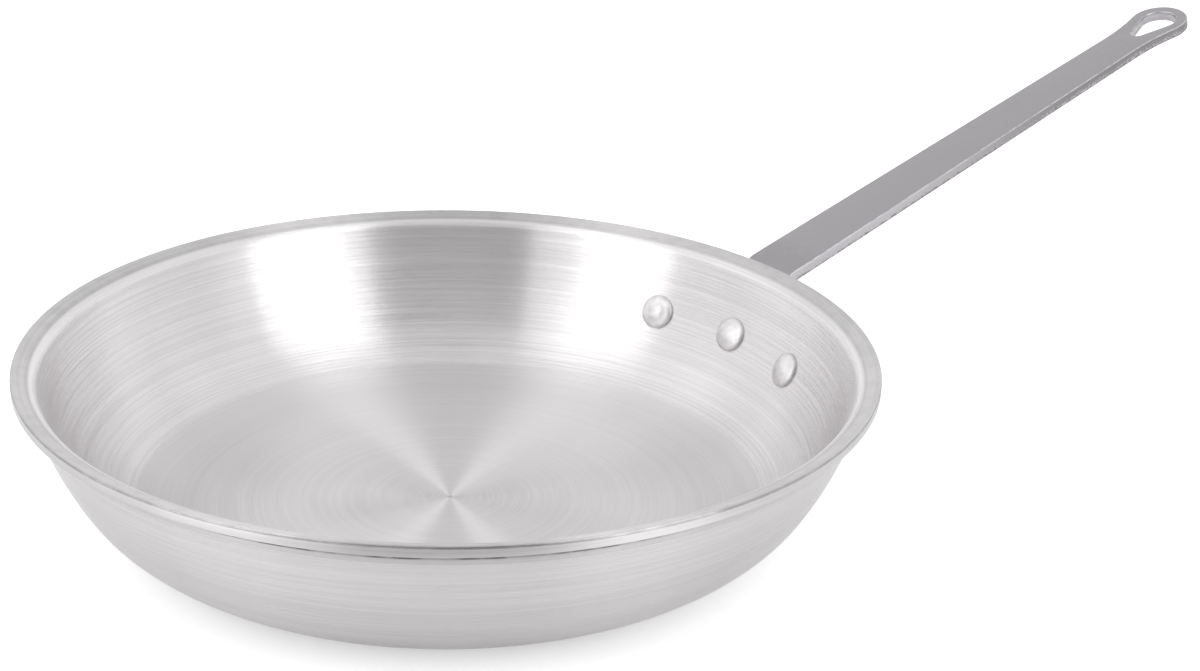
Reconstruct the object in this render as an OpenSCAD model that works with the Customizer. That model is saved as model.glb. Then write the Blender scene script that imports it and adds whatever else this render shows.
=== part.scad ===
// Omelette pan: a spun aluminium bowl with a flared lip, and a flat strap handle
// whose foot is pressed to the wall and held by three rivets.
// Millimetres. The origin is the centre of the underside, +Z is up and +X is along the handle.

/* [Pan body] */
// Diameter over the rim
rim_d = 305; // [290:1:330]
// Height from the underside of the base to the top of the rim
pan_h = 61; // [58:0.5:66]
// Thickness of the aluminium sheet
gauge = 3.8; // [3:0.1:4.4]
// Outside radius of the bend from base to wall
corner_r = 46.9; // [42:0.1:52]
// Angle at which that bend runs into the wall
corner_angle = 58.5; // [55:0.5:61]
// Outside radius of the wall above the bend
wall_r = 120; // [105:1:160]

/* [Lip] */
// How far the lip stands out past the wall under it
lip_out = 5.3; // [4:0.1:6]
// Slope of the lip's top, falling toward the inside
lip_slope = 20; // [12:1:26]
// Inside radius of the bend where the wall flares into the lip
lip_bend_r = 1; // [0.6:0.1:1.6]
// Rounding of the lip's top outer edge
lip_edge_r = 0.8; // [0.4:0.1:1.2]
// Rounding of the lip's bottom outer edge
lip_low_r = 0.5; // [0.3:0.1:0.8]

/* [Handle] */
// Thickness of the steel plate
plate_t = 4.5; // [3.8:0.1:5]
// Width of the strap beside the rim
strap_w = 24; // [20:0.5:26]
// Width of the strap where the loop begins
strap_end_w = 18; // [15:0.5:19]
// Length of the strap from the rim to the centre of the loop
strap_l = 240; // [180:1:260]
// Length of the strap's root, which keeps its full width
strap_root_l = 12; // [10:0.5:20]
// Rise of the strap, away from the pan
strap_slope = 16; // [10:0.5:20]
// How far the top of the strap lies under the rim where it passes it
strap_drop = 1.9; // [1.5:0.1:2.4]
// Outside radius of the bend at the rim
rim_bend_r = 9; // [7:0.5:11]
// Outside radius of the bend above the foot
foot_bend_r = 25; // [20:1:30]
// Gap between the handle and the lip
lip_gap = 0.25; // [0.1:0.05:0.3]

/* [Hanging loop] */
// Radius of the loop's outer edge
loop_r = 12.3; // [11.5:0.1:14]
// Radius of the curve from the strap into the loop
loop_blend_r = 95; // [60:1:120]
// Radius of the eye's wide end
eye_r = 7.6; // [5:0.1:8]
// Radius of the eye's narrow end
eye_tip_r = 2.9; // [2:0.1:4]
// Distance between the centres of the eye's two ends
eye_l = 14; // [10:0.5:18]

/* [Foot] */
// Radius of the foot's rounded ends, half of its height
foot_r = 10; // [9:0.5:11]
// Radius of the inside corners between foot and strap
foot_corner_r = 12; // [8:0.5:14]
// Depth below the rim at which the foot leaves the wall
foot_top_depth = 20; // [19:0.5:21.5]

/* [Rivets] */
// Depth of the middle rivet below the rim, on the outside of the wall
rivet_depth = 27.5; // [27:0.1:28.5]
// How much lower the side rivets sit
rivet_side_drop = 1.2; // [0:0.1:1.5]
// Angle around the bowl from the middle rivet to a side rivet
rivet_spread = 15.9; // [14:0.1:18]
// Diameter of the shank
rivet_d = 6.4; // [5:0.1:7]
// Clearance around the shank, on the radius
rivet_fit = 0.05; // [0.02:0.01:0.1]
// Diameter of the head inside the bowl
rivet_head_d = 13.4; // [11:0.1:14]
// Height of the straight edge of that head
rivet_head_edge = 1.2; // [0.5:0.1:1.5]
// Height of the dome above that edge
rivet_head_dome = 1.3; // [1:0.1:2]
// Diameter of the raised middle of the dome
rivet_crown_d = 7; // [5:0.5:9]
// Height of the raised middle above the dome
rivet_crown_h = 0.4; // [0.2:0.1:0.6]
// Diameter of the upset end outside
rivet_tail_d = 10; // [9:0.1:12]
// Height of the upset end
rivet_tail_h = 2.6; // [2:0.1:3.5]

/* [Hidden] */
$fn = 240;
// Largest gap between a curve of a section or outline and its chords
arc_gap = 0.02;
// How far a piece's rough shape reaches into its neighbour before it is cut to it
sink = 1;
// Angle of the sector around the bowl that the handle is turned in
handle_sector = 60;
rim_r = rim_d / 2;

// A point at radius r from c. Angle 0 is straight down, 90 is outward.
function on_arc(c, r, a) = [c[0] + r * sin(a), c[1] - r * cos(a)];
// Points along an arc from angle a to angle b, leaving out the first one if skip is 1.
// They are as far apart as the largest gap between chord and arc lets them be.
function arc(c, r, a, b, skip = 0) =
    let (steps = ceil(abs(b - a) / (2 * acos(1 - arc_gap / r))))
    [for (i = [skip:steps]) on_arc(c, r, a + (b - a) * i / steps)];
// The direction square to a sheet that rises at angle a, toward its outside
function out_dir(a) = [sin(a), -cos(a)];
// The same points on the other side of the X axis, in reverse order, without any that lie on it
function mirrored(points) =
    [for (i = [len(points) - 1:-1:0]) if (abs(points[i][1]) > 0.001) [points[i][0], -points[i][1]]];

// Section of the bowl, in radius and height
lip_t = gauge / cos(lip_slope);
lip_peak = pan_h + lip_edge_r * (tan(lip_slope) + 1 / cos(lip_slope) - 1);
neck = [rim_r - lip_out, lip_peak - lip_t - lip_out * tan(lip_slope)];
lip_low = [rim_r, lip_peak - lip_t];
lip_low_c = [rim_r - lip_low_r, lip_low[1] + lip_low_r * tan((90 - lip_slope) / 2)];
wall_c_h = corner_r + (wall_r - corner_r) * cos(corner_angle);
neck_angle = acos((wall_c_h - neck[1]) / wall_r);
wall_c = [neck[0] - wall_r * sin(neck_angle), wall_c_h];
corner_c = [wall_c[0] + (wall_r - corner_r) * sin(corner_angle), corner_r];

// The rounding between lip and inner wall touches the lip's top line and the inner wall's circle
lip_round_r = gauge + lip_bend_r;
lip_line_h = lip_peak - rim_r * tan(lip_slope) - lip_round_r / cos(lip_slope);
lip_reach = wall_r - gauge + lip_round_r;
quad_a = 1 + pow(tan(lip_slope), 2);
quad_b = 2 * (tan(lip_slope) * (lip_line_h - wall_c[1]) - wall_c[0]);
quad_c = pow(wall_c[0], 2) + pow(lip_line_h - wall_c[1], 2) - pow(lip_reach, 2);
lip_round_x = (-quad_b + sqrt(quad_b * quad_b - 4 * quad_a * quad_c)) / (2 * quad_a);
lip_round_c = [lip_round_x, lip_line_h + lip_round_x * tan(lip_slope)];
lip_round_a = atan2(lip_round_c[0] - wall_c[0], wall_c[1] - lip_round_c[1]);
lip_edge_c = [rim_r - lip_edge_r, pan_h - lip_edge_r];

// Side view of the handle, in the same section
foot_angle = acos((wall_c[1] - pan_h + foot_top_depth) / wall_r);
// The bend above the foot is set a hair into the wall, so that its chords and the wall's still cross
foot_bend_c = on_arc(wall_c, wall_r + foot_bend_r - 2 * arc_gap, foot_angle);
lip_to_bend = foot_bend_c - lip_low;
riser_angle = atan2(lip_to_bend[1], lip_to_bend[0]) + 180
    - asin((foot_bend_r + lip_gap) / norm(lip_to_bend));
riser_n = out_dir(riser_angle);
strap_n = out_dir(strap_slope);
// The rim bend's centre lies where two lines meet, one beside the riser and one under the strap's top
riser_off = riser_n * lip_low + lip_gap + rim_bend_r;
strap_off = strap_n * [rim_r, pan_h - strap_drop] + rim_bend_r;
bend_det = riser_n[0] * strap_n[1] - riser_n[1] * strap_n[0];
rim_bend_c = [
    (riser_off * strap_n[1] - strap_off * riser_n[1]) / bend_det,
    (strap_off * riser_n[0] - riser_off * strap_n[0]) / bend_det
];
strap_start = rim_bend_c - rim_bend_r * strap_n;
strap_under = rim_bend_c - (rim_bend_r - plate_t) * strap_n;
strap_dir = [cos(strap_slope), sin(strap_slope)];

// Plan of the strap and loop, measured along the strap from beside the rim
strap_taper = (strap_w - strap_end_w) / 2 / (strap_l - strap_root_l);
blend_h = strap_w / 2 + strap_taper * strap_root_l + loop_blend_r * sqrt(1 + pow(strap_taper, 2));
blend_a = 1 + pow(strap_taper, 2);
blend_b = -2 * (strap_l + blend_h * strap_taper);
blend_c = pow(strap_l, 2) + pow(blend_h, 2) - pow(loop_blend_r + loop_r, 2);
blend_x = (-blend_b - sqrt(blend_b * blend_b - 4 * blend_a * blend_c)) / (2 * blend_a);
blend_at = [blend_x, blend_h - strap_taper * blend_x];
blend_from = -atan(strap_taper);
blend_to = atan2(strap_l - blend_at[0], blend_at[1]);
eye_angle = asin((eye_r - eye_tip_r) / eye_l);

// Size of the plate before it is cut to those outlines, larger than the finished handle
blank_w = 2 * pan_h;
blank_l = strap_l + 2 * loop_r;

// Where a rivet sits on the wall
rivet_h = pan_h - rivet_depth;
rivet_y = (wall_c[0] + wall_r) * sin(rivet_spread);
function wall_angle_at(h) = acos((wall_c[1] - h) / wall_r);
shank_r = rivet_d / 2;
head_r = rivet_head_d / 2;
head_top = gauge + rivet_head_edge + rivet_head_dome;
function cap_sphere_r(r, h) = (r * r + h * h) / 2 / h;
head_sphere_r = cap_sphere_r(head_r, rivet_head_dome);
crown_r = rivet_crown_d / 2;
crown_cap_h = rivet_crown_h + head_sphere_r - sqrt(pow(head_sphere_r, 2) - pow(crown_r, 2));
stack_t = gauge + plate_t;
through_h = 4 * stack_t;

// Outline of the bowl moved in by d, from the base up to height h
function bowl_path(d, h) = concat(
    arc(corner_c, corner_r - d, 0, corner_angle),
    arc(wall_c, wall_r - d, corner_angle, acos((wall_c[1] - h) / (wall_r - d)), 1)
);

// Everything inside that outline
module bowl_fill(d, h) {
    polygon(concat([[0, d]], bowl_path(d, h), [[0, h]]));
}

// Half section of the sheet: up the outside, round the lip, down the inside
module bowl_section() {
    inner_top = wall_c[1] - (wall_r - gauge) * cos(lip_round_a);
    inner = bowl_path(gauge, inner_top);
    polygon(concat(
        [[0, 0]],
        bowl_path(0, neck[1]),
        arc(lip_low_c, lip_low_r, lip_slope, 90),
        arc(lip_edge_c, lip_edge_r, 90, 180 + lip_slope),
        arc(lip_round_c, lip_round_r, 180 + lip_slope, 180 + lip_round_a),
        [for (i = [len(inner) - 2:-1:0]) inner[i]],
        [[0, gauge]]
    ));
}

// Turns and tilts its children so that +X runs out through the wall where a rivet sits
module at_rivet(turn, drop) {
    a = wall_angle_at(rivet_h - drop);
    p = on_arc(wall_c, wall_r, a);
    rotate([0, 0, turn]) translate([p[0], 0, p[1]]) rotate([0, 90 - a, 0]) children();
}

module rivet_hole(turn, drop) {
    at_rivet(turn, drop)
        rotate([0, 90, 0])
            cylinder(r = shank_r + rivet_fit, h = through_h, center = true);
}

module all_rivet_holes() {
    rivet_hole(-rivet_spread, rivet_side_drop);
    rivet_hole(0, 0);
    rivet_hole(rivet_spread, rivet_side_drop);
}

module pan_body() {
    color("#c9c9cb")
    difference() {
        rotate_extrude() bowl_section();
        all_rivet_holes();
    }
}

// Side view of the bent plate. The foot starts inside the wall and is cut to the wall's own shape.
module handle_section() {
    foot_low = corner_angle / 2;
    difference() {
        polygon(concat(
            arc(corner_c, corner_r - sink, foot_low, corner_angle),
            arc(wall_c, wall_r - sink, corner_angle, foot_angle, 1),
            arc(foot_bend_c, foot_bend_r, foot_angle - 180, riser_angle - 180),
            arc(rim_bend_c, rim_bend_r, riser_angle - 180, strap_slope - 180),
            [strap_start + blank_l * strap_dir, strap_under + blank_l * strap_dir],
            arc(rim_bend_c, rim_bend_r - plate_t, strap_slope - 180, riser_angle - 180),
            arc(foot_bend_c, foot_bend_r - plate_t, riser_angle - 180, foot_angle - 180),
            arc(wall_c, wall_r + plate_t, foot_angle, corner_angle, 1),
            arc(corner_c, corner_r + plate_t, corner_angle, foot_low, 1)
        ));
        bowl_fill(0, neck[1]);
    }
}

// Half of the outline seen from the front: the foot, the riser up past the strap's root, and
// above that a wide part that leaves the strap and the loop as their own plan makes them
function foot_half() =
    let (h = rivet_h - rivet_side_drop)
    let (corner = [strap_w / 2 + foot_corner_r, h + foot_r + foot_corner_r])
    let (root_top = pan_h + strap_root_l * sin(strap_slope))
    concat(
        arc([rivet_y, h], foot_r, 0, 180),
        arc(corner, foot_corner_r, 0, -90),
        [[strap_w / 2, root_top], [blank_w / 2, root_top], [blank_w / 2, blank_l]]
    );

module foot_outline() {
    half = foot_half();
    polygon(concat(half, [for (i = [len(half) - 1:-1:0]) [-half[i][0], half[i][1]]]));
}

// Plan of the strap and the loop, with the eye cut out. Before the root it is as wide as the blank.
module strap_outline() {
    root_at = strap_root_l / 2;
    edge = concat(
        [[-blank_w, blank_w / 2], [root_at, blank_w / 2]],
        [[root_at, strap_w / 2 + root_at * strap_taper]],
        arc(blend_at, loop_blend_r, blend_from, blend_to),
        arc([strap_l, 0], loop_r, blend_to + 180, 90, 1)
    );
    difference() {
        polygon(concat(edge, mirrored(edge)));
        eye_outline();
    }
}

module eye_outline() {
    edge = concat(
        arc([strap_l - eye_l, 0], eye_tip_r, 270, 180 + eye_angle),
        arc([strap_l, 0], eye_r, 180 + eye_angle, 90)
    );
    polygon(concat(edge, mirrored(edge)));
}

// The bent plate, turned around the bowl's axis so that the foot follows the wall
module bent_plate() {
    rotate_extrude(angle = handle_sector, start = -handle_sector / 2) handle_section();
}

module handle() {
    color("#a6a6a8")
    difference() {
        intersection() {
            bent_plate();
            rotate([90, 0, 90]) linear_extrude(rim_r + blank_l) foot_outline();
            translate([rim_r, 0, pan_h - strap_drop])
                rotate([0, -strap_slope, 0])
                    linear_extrude(2 * blank_w, center = true) strap_outline();
        }
        all_rivet_holes();
    }
}

// A domed head on the inside, a plain shank and an upset end on the outside
module rivet(turn, drop) {
    color("#d2d2d4") {
        difference() {
            at_rivet(turn, drop) rotate([0, 90, 0]) rivet_ends();
            rotate_extrude() bowl_section();
            bent_plate();
        }
        at_rivet(turn, drop)
            rotate([0, 90, 0])
                translate([0, 0, -gauge - rivet_head_edge])
                    cylinder(r = shank_r, h = stack_t + rivet_head_edge + rivet_tail_h / 2);
    }
}

// The top of a sphere, h high, no wider than the head. Its top lies at the given height below Z = 0.
module cap(sphere_r, top, h) {
    intersection() {
        translate([0, 0, sphere_r - top]) sphere(sphere_r);
        translate([0, 0, -top]) cylinder(r = head_r, h = h);
    }
}

// Both ends of a rivet along Z, reaching a little into the wall and the foot
module rivet_ends() {
    cap_foot = rivet_head_edge / 2;
    translate([0, 0, -gauge - rivet_head_edge]) cylinder(r = head_r, h = rivet_head_edge + sink);
    cap(head_sphere_r, head_top, rivet_head_dome + cap_foot);
    cap(cap_sphere_r(crown_r, crown_cap_h), head_top + rivet_crown_h, crown_cap_h + cap_foot);
    translate([0, 0, plate_t - sink]) cylinder(d = rivet_tail_d, h = rivet_tail_h + sink);
}

module rivet_left() { rivet(rivet_spread, rivet_side_drop); }
module rivet_middle() { rivet(0, 0); }
module rivet_right() { rivet(-rivet_spread, rivet_side_drop); }

pan_body();
handle();
rivet_left();
rivet_middle();
rivet_right();
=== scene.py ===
import math

import bmesh
import bpy
from mathutils import Matrix, Vector


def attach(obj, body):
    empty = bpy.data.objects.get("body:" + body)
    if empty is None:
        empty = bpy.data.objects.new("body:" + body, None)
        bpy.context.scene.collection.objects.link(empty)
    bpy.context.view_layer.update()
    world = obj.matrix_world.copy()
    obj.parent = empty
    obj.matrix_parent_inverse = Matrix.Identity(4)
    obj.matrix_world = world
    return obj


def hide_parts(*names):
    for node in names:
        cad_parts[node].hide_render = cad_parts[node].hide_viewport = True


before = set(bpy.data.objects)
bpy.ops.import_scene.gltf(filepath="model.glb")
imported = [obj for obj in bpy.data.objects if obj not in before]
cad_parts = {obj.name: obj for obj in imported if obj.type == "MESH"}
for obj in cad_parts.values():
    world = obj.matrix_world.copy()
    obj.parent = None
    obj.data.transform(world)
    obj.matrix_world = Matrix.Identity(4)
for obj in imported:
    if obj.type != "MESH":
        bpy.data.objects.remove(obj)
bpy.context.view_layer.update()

# ---------------------------------------------------------------- pan body
# The bowl is one disc of 3.8 mm aluminium, spun over a form on a lathe. The roller leaves fine
# turning lines all round, and the lip is the same sheet turned outward and trimmed square.
MM = 0.001
RIM_R, PAN_H, GAUGE = 152.5, 61.0, 3.8
CORNER_R, CORNER_ANGLE, WALL_R = 46.9, math.radians(58.5), 120.0
LIP_OUT, LIP_SLOPE, LIP_BEND_R, LIP_EDGE_R, LIP_LOW_R = 5.3, math.radians(20), 1.0, 0.8, 0.5
CREASE_R = 0.7
PIT_R, PIT_DEPTH = 1.1, 0.18


def on_arc(centre, radius, angle):
    """A point of a section. Angle 0 is straight down from the centre and a quarter turn is outward."""
    return (centre[0] + radius * math.sin(angle), centre[1] - radius * math.cos(angle))


def arc(centre, radius, start, end, gap=0.006):
    """Points along an arc, close enough together that its chords stay within gap."""
    steps = max(2, math.ceil(abs(end - start) / (2 * math.acos(1 - min(gap / radius, 0.2)))))
    return [on_arc(centre, radius, start + (end - start) * i / steps) for i in range(steps + 1)]


lip_t = GAUGE / math.cos(LIP_SLOPE)
lip_peak = PAN_H + LIP_EDGE_R * (math.tan(LIP_SLOPE) + 1 / math.cos(LIP_SLOPE) - 1)
neck = (RIM_R - LIP_OUT, lip_peak - lip_t - LIP_OUT * math.tan(LIP_SLOPE))
lip_low = (RIM_R, lip_peak - lip_t)
wall_c_h = CORNER_R + (WALL_R - CORNER_R) * math.cos(CORNER_ANGLE)
neck_angle = math.acos((wall_c_h - neck[1]) / WALL_R)
wall_c = (neck[0] - WALL_R * math.sin(neck_angle), wall_c_h)
corner_c = (wall_c[0] + (WALL_R - CORNER_R) * math.sin(CORNER_ANGLE), CORNER_R)


def roll_between(lip_h, roll_r, reach):
    """Centre and wall angle of a roll that lies roll_r under the lip's line and reach from the wall's centre.

    lip_h is the height of the lip's line at the rim.
    """
    slope = math.tan(LIP_SLOPE)
    line_h = lip_h - RIM_R * slope - roll_r / math.cos(LIP_SLOPE)
    a = 1 + slope * slope
    b = 2 * (slope * (line_h - wall_c[1]) - wall_c[0])
    c = wall_c[0] ** 2 + (line_h - wall_c[1]) ** 2 - reach ** 2
    x = (-b + math.sqrt(b * b - 4 * a * c)) / (2 * a)
    centre = (x, line_h + x * slope)
    return centre, math.atan2(centre[0] - wall_c[0], wall_c[1] - centre[1])


# The roll inside touches the lip's straight top and the inner wall. The crease outside is a much
# tighter one, between the lip's straight underside and the outer wall.
roll_r = GAUGE + LIP_BEND_R
roll_c, roll_angle = roll_between(lip_peak, roll_r, WALL_R - GAUGE + roll_r)
crease_c, crease_angle = roll_between(lip_low[1], CREASE_R, WALL_R + CREASE_R)
edge_c = (RIM_R - LIP_EDGE_R, PAN_H - LIP_EDGE_R)
low_c = (RIM_R - LIP_LOW_R, lip_low[1] + LIP_LOW_R * math.tan((math.pi / 2 - LIP_SLOPE) / 2))

floor_steps = [i / 16 for i in range(16)]
section = (
    [(corner_c[0] * f, 0.0) for f in floor_steps]
    + arc(corner_c, CORNER_R, 0, CORNER_ANGLE)[:-1]
    + arc(wall_c, WALL_R, CORNER_ANGLE, crease_angle)[:-1]
    + arc(crease_c, CREASE_R, crease_angle - math.pi, LIP_SLOPE - math.pi)
    + arc(low_c, LIP_LOW_R, LIP_SLOPE, math.pi / 2)
    + arc(edge_c, LIP_EDGE_R, math.pi / 2, math.pi + LIP_SLOPE)
    + arc(roll_c, roll_r, math.pi + LIP_SLOPE, math.pi + roll_angle)[:-1]
    + arc(wall_c, WALL_R - GAUGE, roll_angle, CORNER_ANGLE)[:-1]
    + arc(corner_c, CORNER_R - GAUGE, CORNER_ANGLE, 0)
    + [(corner_c[0] * f, GAUGE) for f in reversed(floor_steps[1:])]
    + [(PIT_R, GAUGE), (0.7, GAUGE - 0.12), (0.0, GAUGE - PIT_DEPTH)]
)


def add(tree, kind, inputs=None, **settings):
    """Adds a node with its settings. Each input gets a value, or a link if it is given an output."""
    made = tree.nodes.new(kind)
    for name, value in settings.items():
        setattr(made, name, value)
    for name, value in (inputs or {}).items():
        if isinstance(value, bpy.types.NodeSocket):
            tree.links.new(value, made.inputs[name])
        else:
            made.inputs[name].default_value = value
    return made


def polyline(name, points):
    """A mesh of edges alone in the XZ plane, from points in millimetres."""
    mesh = bpy.data.meshes.new(name)
    mesh.from_pydata(
        [(x * MM, 0, z * MM) for x, z in points], [(i, i + 1) for i in range(len(points) - 1)], []
    )
    piece = bpy.data.objects.new(name, mesh)
    bpy.context.scene.collection.objects.link(piece)
    return piece


# Turning: every point of the section is carried round the axis in equal steps
turning = bpy.data.node_groups.new("turn_section", "GeometryNodeTree")
for name, kind in (("Section", "NodeSocketGeometry"), ("Steps Round", "NodeSocketInt")):
    turning.interface.new_socket(name, in_out="INPUT", socket_type=kind)
turning.interface.new_socket("Turned", in_out="OUTPUT", socket_type="NodeSocketGeometry")
given = add(turning, "NodeGroupInput")
section_size = add(turning, "GeometryNodeAttributeDomainSize", {"Geometry": given.outputs["Section"]})
round_points = add(turning, "ShaderNodeMath", {0: given.outputs["Steps Round"], 1: 1.0}, operation="ADD")
sheet = add(
    turning,
    "GeometryNodeMeshGrid",
    {"Vertices X": section_size.outputs["Point Count"], "Vertices Y": round_points.outputs[0]},
)
index = add(turning, "GeometryNodeInputIndex")
row = add(turning, "ShaderNodeMath", {0: index.outputs[0], 1: round_points.outputs[0]}, operation="DIVIDE")
row = add(turning, "ShaderNodeMath", {0: row.outputs[0]}, operation="FLOOR")
column = add(turning, "ShaderNodeMath", {0: index.outputs[0], 1: round_points.outputs[0]}, operation="MODULO")
share = add(
    turning,
    "ShaderNodeMath",
    {0: column.outputs[0], 1: given.outputs["Steps Round"]},
    operation="DIVIDE",
)
angle = add(turning, "ShaderNodeMath", {0: share.outputs[0], 1: 2 * math.pi}, operation="MULTIPLY")
place = add(turning, "GeometryNodeInputPosition")
point = add(
    turning,
    "GeometryNodeSampleIndex",
    {"Geometry": given.outputs["Section"], "Value": place.outputs[0], "Index": row.outputs[0]},
    data_type="FLOAT_VECTOR",
)
turned = add(
    turning,
    "ShaderNodeVectorRotate",
    {"Vector": point.outputs["Value"], "Angle": angle.outputs[0]},
    rotation_type="Z_AXIS",
)
swept = add(
    turning,
    "GeometryNodeSetPosition",
    {"Geometry": sheet.outputs["Mesh"], "Position": turned.outputs[0]},
)
closed = add(turning, "GeometryNodeMergeByDistance", {"Geometry": swept.outputs[0], "Distance": 1e-6})
smooth = add(turning, "GeometryNodeSetShadeSmooth", {"Geometry": closed.outputs[0]})
add(turning, "NodeGroupOutput", {"Turned": smooth.outputs[0]})


def set_input(modifier, name, value):
    """Gives a modifier's input its value by the socket's own identifier."""
    for item in modifier.node_group.interface.items_tree:
        if item.item_type == "SOCKET" and item.in_out == "INPUT" and item.name == name:
            modifier[item.identifier] = value


def finished(piece, name, finish):
    """The evaluated shape as one plain mesh with its faces pointing outward. The rough piece goes."""
    bpy.context.view_layer.update()
    evaluated = piece.evaluated_get(bpy.context.evaluated_depsgraph_get())
    mesh = bpy.data.meshes.new_from_object(evaluated)
    bpy.data.objects.remove(piece)
    form = bmesh.new()
    form.from_mesh(mesh)
    bmesh.ops.recalc_face_normals(form, faces=form.faces)
    form.to_mesh(mesh)
    form.free()
    mesh.name = name
    mesh.materials.clear()
    mesh.materials.append(finish)
    made = bpy.data.objects.new(name, mesh)
    bpy.context.scene.collection.objects.link(made)
    return made


def linear(hex_colour):
    """An sRGB hex value as linear red, green, blue and alpha."""
    parts = [int(hex_colour[i:i + 2], 16) / 255 for i in (1, 3, 5)]
    return [p / 12.92 if p <= 0.04045 else ((p + 0.055) / 1.055) ** 2.4 for p in parts] + [1.0]


def new_material(name):
    """An empty material with its output node, and its tree."""
    material = bpy.data.materials.new(name)
    material.use_nodes = True
    material.node_tree.nodes.clear()
    return material, material.node_tree


def calc(operation, *values, clamp=False):
    """One step of arithmetic in the current material. Gives its output."""
    step = add(tree, "ShaderNodeMath", dict(enumerate(values)), operation=operation, use_clamp=clamp)
    return step.outputs[0]


def vector(operation, *values, **named):
    """The same for vectors."""
    step = add(tree, "ShaderNodeVectorMath", {**dict(enumerate(values)), **named}, operation=operation)
    return step.outputs[0]


def dot(one, other):
    """How far one vector reaches along the other, in the current material."""
    inputs = {0: one, 1: other}
    return add(tree, "ShaderNodeVectorMath", inputs, operation="DOT_PRODUCT").outputs["Value"]


def length(value):
    """The length of a vector in the current material."""
    return add(tree, "ShaderNodeVectorMath", {0: value}, operation="LENGTH").outputs["Value"]


def between(value, start, end, low=0.0, high=1.0):
    """Goes from low to high, smoothly, while value goes from start to end."""
    return add(
        tree,
        "ShaderNodeMapRange",
        {"Value": value, "From Min": start, "From Max": end, "To Min": low, "To Max": high},
        interpolation_type="SMOOTHSTEP",
    ).outputs[0]


# Spun aluminium, left as it comes off the lathe. The turning lines stretch every reflection across
# themselves, so the floor shows a star and the wall shows upright bands.
spun, tree = new_material("spun_aluminium")
place = add(tree, "ShaderNodeTexCoord").outputs["Object"]
flat = vector("MULTIPLY", place, (1, 1, 0))
radius = length(flat)
outward = vector("NORMALIZE", flat)
height = add(tree, "ShaderNodeSeparateXYZ", {0: place}).outputs["Z"]
along = vector("CROSS_PRODUCT", (0, 0, 1), outward)
travel = calc("ADD", radius, height)


def ring_noise(arcs, spacing_mm, detail):
    """Noise drawn out round the axis: spacing_mm across the lines, and about arcs cells a radian."""
    lift = add(tree, "ShaderNodeCombineXYZ", {"Z": calc("MULTIPLY", travel, 1 / (spacing_mm * MM))})
    wide = vector("SCALE", outward, Scale=arcs)
    where = vector("ADD", wide, lift.outputs[0])
    return add(
        tree, "ShaderNodeTexNoise", {"Vector": where, "Scale": 1.0, "Detail": detail, "Roughness": 0.6}
    ).outputs["Fac"]


def blotches(size_mm, detail):
    """Plain noise over the surface, with blotches of about size_mm."""
    return add(
        tree, "ShaderNodeTexNoise", {"Vector": place, "Scale": 1 / (size_mm * MM), "Detail": detail}
    ).outputs["Fac"]


# The lines that can be seen are about 1 mm apart, on bands of about 4 mm, both drawn coarser than
# the real marks of the roller. The hair lines between them are 0.02 mm apart. The wall shows the
# lines more than the floor does. The two were finished apart and meet halfway up the bend.
lines = ring_noise(0.6, 0.6, 0.0)
broad_lines = ring_noise(0.4, 4.0, 2.0)
hair_lines = ring_noise(3.0, 0.02, 0.0)
streaks = calc("MULTIPLY_ADD", broad_lines, 0.4, calc("MULTIPLY", lines, 0.6))
on_wall = between(height, 8.2 * MM, 8.8 * MM)
contrast = calc("MULTIPLY_ADD", on_wall, 0.032, 0.028)
tone = calc("MULTIPLY_ADD", between(streaks, 0.35, 0.65, -1.0, 0.25), contrast, 1.0)

# The lip was only wiped, so it is duller and blotched. A thin dark line of painted shade is laid
# along its trimmed edge and in the crease under it.
lip = between(radius, 145.9 * MM, 147.1 * MM)
lip_top = calc("MULTIPLY", lip, between(radius, 152.42 * MM, 152.2 * MM))
stains = between(calc("ADD", blotches(16.0, 4.0), blotches(5.0, 3.0)), 0.85, 1.2, 1.0, 0.93)
lip_tone = calc("MULTIPLY", stains, 0.88)
tone = calc("MULTIPLY", tone, calc("MULTIPLY_ADD", lip_top, calc("SUBTRACT", lip_tone, 1.0), 1.0))
edge = calc("MULTIPLY", between(radius, 152.1 * MM, 152.3 * MM), between(height, 59.9 * MM, 60.15 * MM))
crease = calc("MULTIPLY", between(radius, 146.5 * MM, 146.9 * MM), between(height, 55.9 * MM, 55.3 * MM))
crease = calc("MULTIPLY", crease, between(height, 53.5 * MM, 53.9 * MM))
pit = between(radius, (PIT_R + 0.2) * MM, 0.6 * MM)
patchiness = blotches(7.0, 3.0)
# Painted shade: a thin, uneven dark line along the lip's rounded top edge and in the crease under the lip.
# The centre pit is darker too.
edge_shade = calc("MULTIPLY", edge, between(patchiness, 0.35, 0.6, 0.4, 0.52))
crease_shade = calc("MULTIPLY", crease, between(patchiness, 0.6, 0.35, 0.25, 0.75))
painted_shade_and_pit = calc("ADD", calc("ADD", edge_shade, crease_shade), calc("MULTIPLY", pit, 0.3), clamp=True)

# The trimmed face of the lip is a little darker, and the bend inside it carries painted shade that dulls its
# bright reflection
tone = calc("MULTIPLY", tone, between(radius, 152.3 * MM, 152.45 * MM, 1.0, 0.93))
bend = calc("MULTIPLY", between(radius, 145.5 * MM, 146.3 * MM), between(radius, 148.2 * MM, 147.2 * MM))
tone = calc("MULTIPLY", tone, calc("MULTIPLY_ADD", bend, -0.06, 1.0))
clean = vector("SCALE", linear("#E7E5E6")[:3], Scale=tone)
tint = add(
    tree,
    "ShaderNodeMix",
    {"Factor": painted_shade_and_pit, "A": clean, "B": linear("#4C4748")},
    data_type="RGBA",
)

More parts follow.
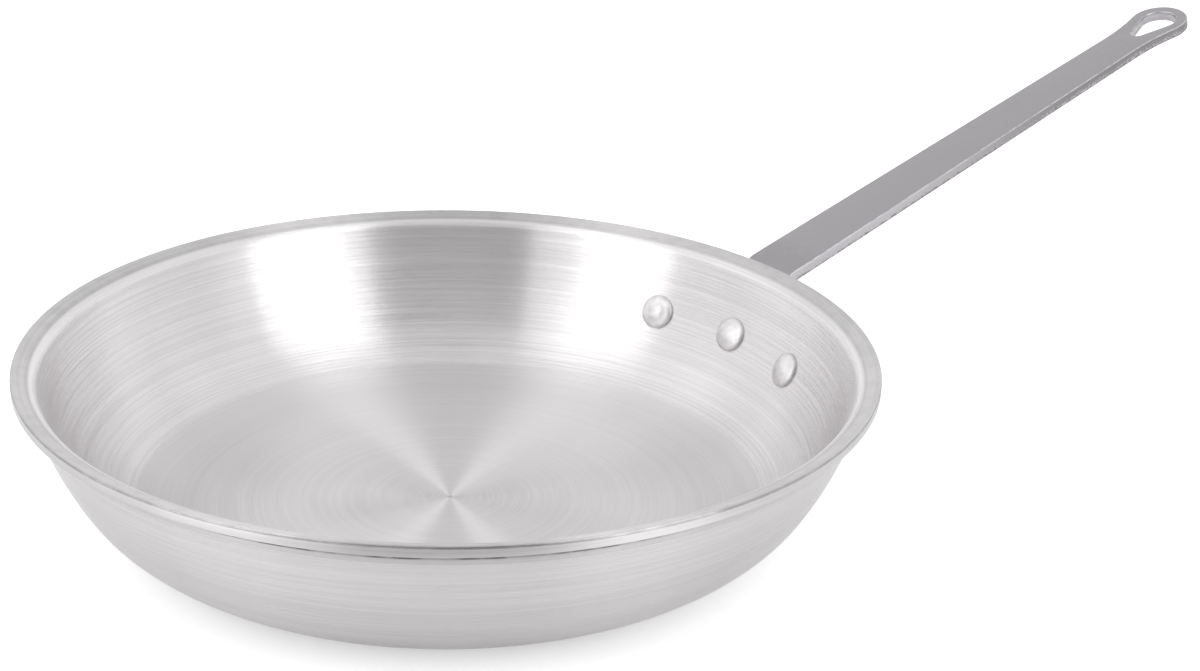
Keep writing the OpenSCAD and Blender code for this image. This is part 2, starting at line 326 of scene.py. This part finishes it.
# The wall was finished with a harder pass than the floor, so it is the smoother. Each hair line
# leans the surface across the lines, and that fans the reflections out.
rough = calc("MULTIPLY_ADD", on_wall, -0.12, calc("MULTIPLY_ADD", lip, 0.14, 0.38))
rough = calc("MULTIPLY_ADD", edge, -0.16, rough)
rough = calc("ADD", rough, between(streaks, 0.35, 0.65, 0.01, -0.01))
facing = add(tree, "ShaderNodeNewGeometry").outputs["Normal"]
lean = calc("MULTIPLY", calc("SUBTRACT", hair_lines, 0.5), calc("MULTIPLY_ADD", on_wall, 0.5, 1.2))
leaning = vector("SCALE", vector("CROSS_PRODUCT", facing, along), Scale=lean)
leaned = vector("NORMALIZE", vector("ADD", facing, leaning))
bump = add(
    tree,
    "ShaderNodeBump",
    {"Strength": 0.1, "Distance": 0.05 * MM, "Height": streaks, "Normal": leaned},
)
metal = add(
    tree,
    "ShaderNodeBsdfPrincipled",
    {
        "Base Color": tint.outputs[2],
        "Metallic": 1.0,
        "Roughness": rough,
        "Anisotropic": 1.0,
        "Anisotropic Rotation": 0.25,
        "Tangent": along,
        "Normal": bump.outputs[0],
    },
)
add(tree, "ShaderNodeOutputMaterial", {"Surface": metal.outputs[0]})

spinning = bpy.data.node_groups.new("spin_bowl", "GeometryNodeTree")
for name, kind in (
    ("Section", "NodeSocketGeometry"),
    ("Steps Round", "NodeSocketInt"),
    ("Finish", "NodeSocketMaterial"),
):
    spinning.interface.new_socket(name, in_out="INPUT", socket_type=kind)
spinning.interface.new_socket("Bowl", in_out="OUTPUT", socket_type="NodeSocketGeometry")
given = add(spinning, "NodeGroupInput")
one = add(spinning, "GeometryNodeGroup", node_tree=turning)
spinning.links.new(given.outputs["Section"], one.inputs["Section"])
spinning.links.new(given.outputs["Steps Round"], one.inputs["Steps Round"])
real = add(spinning, "GeometryNodeRealizeInstances", {"Geometry": one.outputs[0]})
coated = add(
    spinning,
    "GeometryNodeSetMaterial",
    {"Geometry": real.outputs[0], "Material": given.outputs["Finish"]},
)
add(spinning, "NodeGroupOutput", {"Bowl": coated.outputs[0]})

rough_bowl = polyline("bowl_section", section)
spin = rough_bowl.modifiers.new("spin", "NODES")
spin.node_group = spinning
set_input(spin, "Steps Round", 384)
set_input(spin, "Finish", spun)
bowl = finished(rough_bowl, "spun_bowl", spun)
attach(bowl, "root")
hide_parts("pan_body")

# ------------------------------------------------------------------ handle
# One strap blanked from 4.5 mm steel plate, bent at the rim, pressed to the wall at its foot and
# then plated. The press rolls the upper edges over and leaves a torn band along the lower ones.
STRAP_SLOPE, STRAP_DROP = math.radians(16), 1.9
EDGE_ROLL_R = 0.6
plated, tree = new_material("plated_steel")
place = add(tree, "ShaderNodeTexCoord").outputs["Object"]
facing = add(tree, "ShaderNodeNewGeometry").outputs["Normal"]
strap_up = (-math.sin(STRAP_SLOPE), 0, math.cos(STRAP_SLOPE))
from_top = vector("SUBTRACT", (RIM_R * MM, 0, (PAN_H - STRAP_DROP) * MM), place)
depth = dot(from_top, strap_up)
upright = dot(facing, strap_up)
side = between(calc("ABSOLUTE", upright), 0.6, 0.3)
run = add(tree, "ShaderNodeSeparateXYZ", {0: place}).outputs["X"]


def mixed(share, one, other):
    """One value where share is 0, the other where it is 1."""
    return calc("MULTIPLY_ADD", share, calc("SUBTRACT", other, one), one)


# Down the cut side: a burnished band, painted bright near the root and dark toward the tip as a painted
# reflection, then the torn one with its ragged edge and dark specks
ragged = calc("MULTIPLY", calc("SUBTRACT", blotches(2.5, 4.0), 0.5), 3.0 * MM)
torn_from = between(run, 0.18, 0.36, 3.3 * MM, 2.4 * MM)
below = calc("SUBTRACT", calc("ADD", depth, ragged), torn_from)
torn = calc("MULTIPLY", side, between(below, -0.1 * MM, 0.1 * MM))
burnished_reflection = between(run, 0.20, 0.33, 1.28, 0.66)
specks = between(blotches(0.8, 2.0), 0.38, 0.60, 0.62, 1.2)
grain = between(blotches(1.5, 4.0), 0.35, 0.65, 0.985, 1.01)
root = between(calc("ADD", run, calc("MULTIPLY", blotches(6.0, 3.0), 0.02)), 0.172, 0.185, 0.93, 1.0)
top_tone = calc("MULTIPLY", grain, root)
side_tone = mixed(torn, burnished_reflection, specks)
tone = mixed(side, top_tone, side_tone)

# The eye's walls are painted bright all the way down, a painted reflection, and the rolled edge between top
# and side gets a painted highlight, broken up by noise
across = calc("ABSOLUTE", add(tree, "ShaderNodeSeparateXYZ", {0: place}).outputs["Y"])
eye = calc("MULTIPLY", side, between(across, 8.8 * MM, 8.3 * MM))
tone = mixed(eye, tone, 1.3)
rolled = calc("MULTIPLY", between(upright, 0.97, 0.9), between(upright, 0.45, 0.6))
rolled_highlight = calc("MULTIPLY", rolled, between(blotches(3.0, 2.0), 0.35, 0.6, 0.1, 0.5))
tone = calc("ADD", tone, rolled_highlight)
steel = vector("SCALE", linear("#AEABAF")[:3], Scale=tone)
rough = calc("MULTIPLY_ADD", torn, 0.28, calc("MULTIPLY_ADD", side, -0.16, 0.46))
pitted = calc("MULTIPLY", torn, blotches(0.7, 3.0))
bump = add(tree, "ShaderNodeBump", {"Strength": 0.5, "Distance": 0.2 * MM, "Height": pitted})
metal = add(
    tree,
    "ShaderNodeBsdfPrincipled",
    {"Base Color": steel, "Metallic": 1.0, "Roughness": rough, "Normal": bump.outputs[0]},
)
add(tree, "ShaderNodeOutputMaterial", {"Surface": metal.outputs[0]})

handle_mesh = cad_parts["handle"].data.copy()
form = bmesh.new()
form.from_mesh(handle_mesh)
bmesh.ops.remove_doubles(form, verts=form.verts, dist=1e-7)
bmesh.ops.dissolve_limit(form, angle_limit=math.radians(0.3), verts=form.verts, edges=form.edges)
form.to_mesh(handle_mesh)
form.free()
handle = bpy.data.objects.new("strap_handle", handle_mesh)
bpy.context.scene.collection.objects.link(handle)
roll = handle.modifiers.new("edge_roll", "BEVEL")
roll.width = EDGE_ROLL_R * MM
roll.segments = 3
roll.limit_method = "ANGLE"
roll.angle_limit = math.radians(40)
roll.use_clamp_overlap = False
handle = finished(handle, "strap_handle", plated)
for face in handle.data.polygons:
    face.use_smooth = True
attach(handle, "root")
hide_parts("handle")

# ------------------------------------------------------------------ rivets
# Three solid aluminium rivets, driven from inside: a wide shallow head in the bowl and an upset
# end behind the foot. The set that backs them up leaves a slightly raised middle on each head.
RIVET_DEPTH, SIDE_DROP, SPREAD = 27.5, 1.2, math.radians(15.9)
PLATE_T, SHANK_R, TAIL_R, HEAD_R = 4.5, 3.2, 5.0, 6.7
head_base = GAUGE - 0.2
rivet_section = [
    (0, -PLATE_T - 2.6), (4.2, -PLATE_T - 2.6), (4.7, -PLATE_T - 2.45), (4.95, -PLATE_T - 2.1),
    (TAIL_R, -PLATE_T - 1.6), (TAIL_R, -PLATE_T + 0.2), (SHANK_R, -PLATE_T + 0.2), (SHANK_R, head_base),
    (6.6, head_base), (HEAD_R, head_base + 0.1), (HEAD_R, head_base + 0.95), (6.62, head_base + 1.2),
    (6.4, head_base + 1.42), (5.9, head_base + 1.68), (5.2, head_base + 1.93), (4.5, head_base + 2.12),
    (4.0, head_base + 2.26), (3.6, head_base + 2.38), (3.2, head_base + 2.52), (2.7, head_base + 2.69),
    (2.1, head_base + 2.84), (1.4, head_base + 2.98), (0.7, head_base + 3.07), (0, head_base + 3.1),
]
riveting = bpy.data.node_groups.new("rivet_the_foot", "GeometryNodeTree")
for name, kind in (
    ("Section", "NodeSocketGeometry"),
    ("Spread", "NodeSocketFloat"),
    ("Side Drop", "NodeSocketFloat"),
    ("Wall Radius", "NodeSocketFloat"),
    ("Wall Centre Out", "NodeSocketFloat"),
    ("Height Under Centre", "NodeSocketFloat"),
    ("Wall Centre Up", "NodeSocketFloat"),
    ("Finish", "NodeSocketMaterial"),
):
    riveting.interface.new_socket(name, in_out="INPUT", socket_type=kind)
riveting.interface.new_socket("Rivets", in_out="OUTPUT", socket_type="NodeSocketGeometry")
given = add(riveting, "NodeGroupInput")
one = add(riveting, "GeometryNodeGroup", node_tree=turning)
riveting.links.new(given.outputs["Section"], one.inputs["Section"])
one.inputs["Steps Round"].default_value = 72
own = add(riveting, "GeometryNodeInputPosition")
marked = add(
    riveting,
    "GeometryNodeStoreNamedAttribute",
    {"Geometry": one.outputs[0], "Name": "own_place", "Value": own.outputs[0]},
    data_type="FLOAT_VECTOR",
)
points = add(riveting, "GeometryNodeMeshLine", {"Count": 3})
index = add(riveting, "GeometryNodeInputIndex")


def place_calc(operation, *values):
    """One step of arithmetic in the riveting group. Gives its output."""
    return add(riveting, "ShaderNodeMath", dict(enumerate(values)), operation=operation).outputs[0]


side = place_calc("SUBTRACT", index.outputs[0], 1.0)
turn = place_calc("MULTIPLY", side, given.outputs["Spread"])
away = place_calc("ABSOLUTE", side)
drop = place_calc(
    "MULTIPLY_ADD", away, given.outputs["Side Drop"], given.outputs["Height Under Centre"]
)
tilt = place_calc("ARCCOSINE", place_calc("DIVIDE", drop, given.outputs["Wall Radius"]))
out = place_calc(
    "MULTIPLY_ADD",
    place_calc("SINE", tilt),
    given.outputs["Wall Radius"],
    given.outputs["Wall Centre Out"],
)
up = place_calc("SUBTRACT", given.outputs["Wall Centre Up"], drop)
seat = add(riveting, "ShaderNodeCombineXYZ", {"X": out, "Z": up}).outputs[0]
seat = add(riveting, "ShaderNodeVectorRotate", {"Vector": seat, "Angle": turn}, rotation_type="Z_AXIS")
placed = add(
    riveting,
    "GeometryNodeSetPosition",
    {"Geometry": points.outputs[0], "Position": seat.outputs[0]},
)
lean = place_calc("MULTIPLY", tilt, -1.0)
pose = add(riveting, "ShaderNodeCombineXYZ", {"Y": lean, "Z": turn}).outputs[0]
driven = add(
    riveting,
    "GeometryNodeInstanceOnPoints",
    {"Points": placed.outputs[0], "Instance": marked.outputs[0], "Rotation": pose},
)
real = add(riveting, "GeometryNodeRealizeInstances", {"Geometry": driven.outputs[0]})
coated = add(
    riveting,
    "GeometryNodeSetMaterial",
    {"Geometry": real.outputs[0], "Material": given.outputs["Finish"]},
)
add(riveting, "NodeGroupOutput", {"Rivets": coated.outputs[0]})

# own_place is where a point lies on its own rivet, before the rivet is put in its hole
rivet_metal, tree = new_material("rivet_aluminium")
place = add(tree, "ShaderNodeTexCoord").outputs["Object"]
own_place = add(tree, "ShaderNodeAttribute", attribute_name="own_place").outputs["Vector"]
own_height = add(tree, "ShaderNodeSeparateXYZ", {0: own_place}).outputs["Z"]
own_flat = vector("MULTIPLY", own_place, (1, 1, 0))
own_radius = length(own_flat)
smudge = between(blotches(3.0, 4.0), 0.38, 0.62, 0.88, 1.0)
# Painted shade: the head is darker toward its rim and much darker where it meets the wall
shoulder_shade = between(own_radius, 5.2 * MM, 6.6 * MM, 1.0, 0.92)
contact_shade = between(own_height, (head_base + 0.35) * MM, (head_base + 0.5) * MM, 0.45, 1.0)
tone = calc("MULTIPLY", calc("MULTIPLY", smudge, shoulder_shade), contact_shade)
pale = vector("SCALE", linear("#E8E6E6")[:3], Scale=tone)
rough = between(blotches(1.2, 3.0), 0.35, 0.65, 0.42, 0.52)
hammered = add(tree, "ShaderNodeBump", {"Strength": 0.25, "Distance": 0.2 * MM, "Height": blotches(2.2, 2.0)})
metal = add(
    tree,
    "ShaderNodeBsdfPrincipled",
    {"Base Color": pale, "Metallic": 1.0, "Roughness": rough, "Normal": hammered.outputs[0]},
)
add(tree, "ShaderNodeOutputMaterial", {"Surface": metal.outputs[0]})

rough_rivets = polyline("rivet_section", rivet_section)
drive = rough_rivets.modifiers.new("drive", "NODES")
drive.node_group = riveting
set_input(drive, "Spread", SPREAD)
set_input(drive, "Side Drop", SIDE_DROP * MM)
set_input(drive, "Wall Radius", WALL_R * MM)
set_input(drive, "Wall Centre Out", wall_c[0] * MM)
set_input(drive, "Wall Centre Up", wall_c[1] * MM)
set_input(drive, "Height Under Centre", (wall_c[1] - PAN_H + RIVET_DEPTH) * MM)
set_input(drive, "Finish", rivet_metal)
rivets = finished(rough_rivets, "foot_rivets", rivet_metal)
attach(rivets, "root")
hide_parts("rivet_left", "rivet_middle", "rivet_right")

# ------------------------------------------------------------------ studio
# A plain pale floor, two tall soft boxes in front to the left and right of the camera, four weak
# fills, and between the boxes a grey card, which is what the far wall shows as its darker middle.
CAMERA_AT = (-0.4756, -0.6490, 0.3941)
LAMP_DISTANCE, CARD_DISTANCE, CARD_HALF_ANGLE = 1.3, 1.5, 26
floor_mesh = bpy.data.meshes.new("floor")
floor_mesh.from_pydata([(-6, -6, 0), (6, -6, 0), (6, 6, 0), (-6, 6, 0)], [], [(0, 1, 2, 3)])
floor = bpy.data.objects.new("floor", floor_mesh)
bpy.context.scene.collection.objects.link(floor)
paper, tree = new_material("white_paper")
matt = add(tree, "ShaderNodeBsdfDiffuse", {"Color": linear("#F6F6F6")})
seen = add(tree, "ShaderNodeLightPath").outputs["Is Camera Ray"]
extra = add(tree, "ShaderNodeMath", {0: seen, 1: 0.4}, operation="MULTIPLY")
glow = add(tree, "ShaderNodeEmission", {"Color": (1, 1, 1, 1), "Strength": extra.outputs[0]})
both = add(tree, "ShaderNodeAddShader", {0: matt.outputs[0], 1: glow.outputs[0]})
add(tree, "ShaderNodeOutputMaterial", {"Surface": both.outputs[0]})
floor.data.materials.append(paper)

# Directions on the floor are counted from the camera's own side, to its right
camera_side = math.atan2(CAMERA_AT[1], CAMERA_AT[0])


def soft_box(name, degrees_right, low, high, width, brightness):
    """An upright area lamp that faces the pan. brightness is how bright its face looks."""
    lamp = bpy.data.lights.new(name, "AREA")
    lamp.shape = "RECTANGLE"
    lamp.size, lamp.size_y = width, high - low
    lamp.energy = brightness * math.pi * width * (high - low)
    bearing = camera_side + math.radians(degrees_right)
    made = bpy.data.objects.new(name, lamp)
    made.location = (LAMP_DISTANCE * math.cos(bearing), LAMP_DISTANCE * math.sin(bearing), (low + high) / 2)
    aim = Vector((0, 0, 0.05)) - made.location
    aim.z *= 0.5
    made.rotation_mode = "QUATERNION"
    made.rotation_quaternion = aim.to_track_quat("-Z", "Y")
    made.visible_camera = False
    bpy.context.scene.collection.objects.link(made)


for name, degrees_right, low, high, width, brightness in (
    ("soft_box_right", 50, 0.05, 2.1, 0.85, 1.1),
    ("soft_box_left", -58, 0.05, 2.1, 0.85, 1.0),
    ("side_fill_left", -112, 0.7, 2.0, 1.1, 0.33),
    ("side_fill_right", 110, 0.7, 2.0, 0.6, 0.12),
    ("low_fill_left", -66, 0.02, 0.42, 1.2, 0.35),
    ("low_fill_right", 56, 0.02, 0.42, 1.0, 0.25),
):
    soft_box(name, degrees_right, low, high, width, brightness)

card_mesh = bpy.data.meshes.new("grey_card")
card_points = []
for turn_share, z in ((-1, 0.02), (1, 0.02), (1, 1.6), (-1, 1.6)):
    bearing = camera_side + math.radians(turn_share * CARD_HALF_ANGLE)
    card_points.append((CARD_DISTANCE * math.cos(bearing), CARD_DISTANCE * math.sin(bearing), z))
card_mesh.from_pydata(card_points, [], [(0, 1, 2, 3)])
card = bpy.data.objects.new("grey_card", card_mesh)
bpy.context.scene.collection.objects.link(card)
grey, tree = new_material("grey_card")
matt = add(tree, "ShaderNodeEmission", {"Color": (1, 1, 1, 1), "Strength": 0.3})
add(tree, "ShaderNodeOutputMaterial", {"Surface": matt.outputs[0]})
card.data.materials.append(grey)
card.visible_camera = False
card.visible_shadow = False

# The room: white near the horizon, where the paper sweeps up, and a little darker overhead
world = bpy.data.worlds.new("room")
world.use_nodes = True
tree = world.node_tree
tree.nodes.clear()
direction = add(tree, "ShaderNodeTexCoord").outputs["Generated"]
rise = add(tree, "ShaderNodeSeparateXYZ", {0: direction}).outputs["Z"]
shade = add(
    tree,
    "ShaderNodeMapRange",
    {"Value": rise, "From Min": 0.05, "From Max": 0.5, "To Min": 1.22, "To Max": 0.88},
)
air = add(tree, "ShaderNodeBackground", {"Color": (1, 1, 1, 1), "Strength": shade.outputs[0]})
add(tree, "ShaderNodeOutputWorld", {"Surface": air.outputs[0]})
bpy.context.scene.world = world
bpy.context.scene.view_settings.view_transform = "Standard"

# The camera stands where the rim's ellipse and the wall's outline in the photo put it
lens = bpy.data.cameras.new("camera")
lens.lens = 73.5
lens.sensor_width = 36
camera = bpy.data.objects.new("camera", lens)
forward = Vector((0.5957, 0.7099, -0.3758)).normalized()
right = Vector((0.7724, -0.6346, 0.0255))
right = (right - right.dot(forward) * forward).normalized()
above = right.cross(forward)
turned = Matrix((right, above, -forward)).transposed().to_4x4()
camera.matrix_world = Matrix.Translation(CAMERA_AT) @ turned
bpy.context.scene.collection.objects.link(camera)
bpy.context.scene.camera = camera
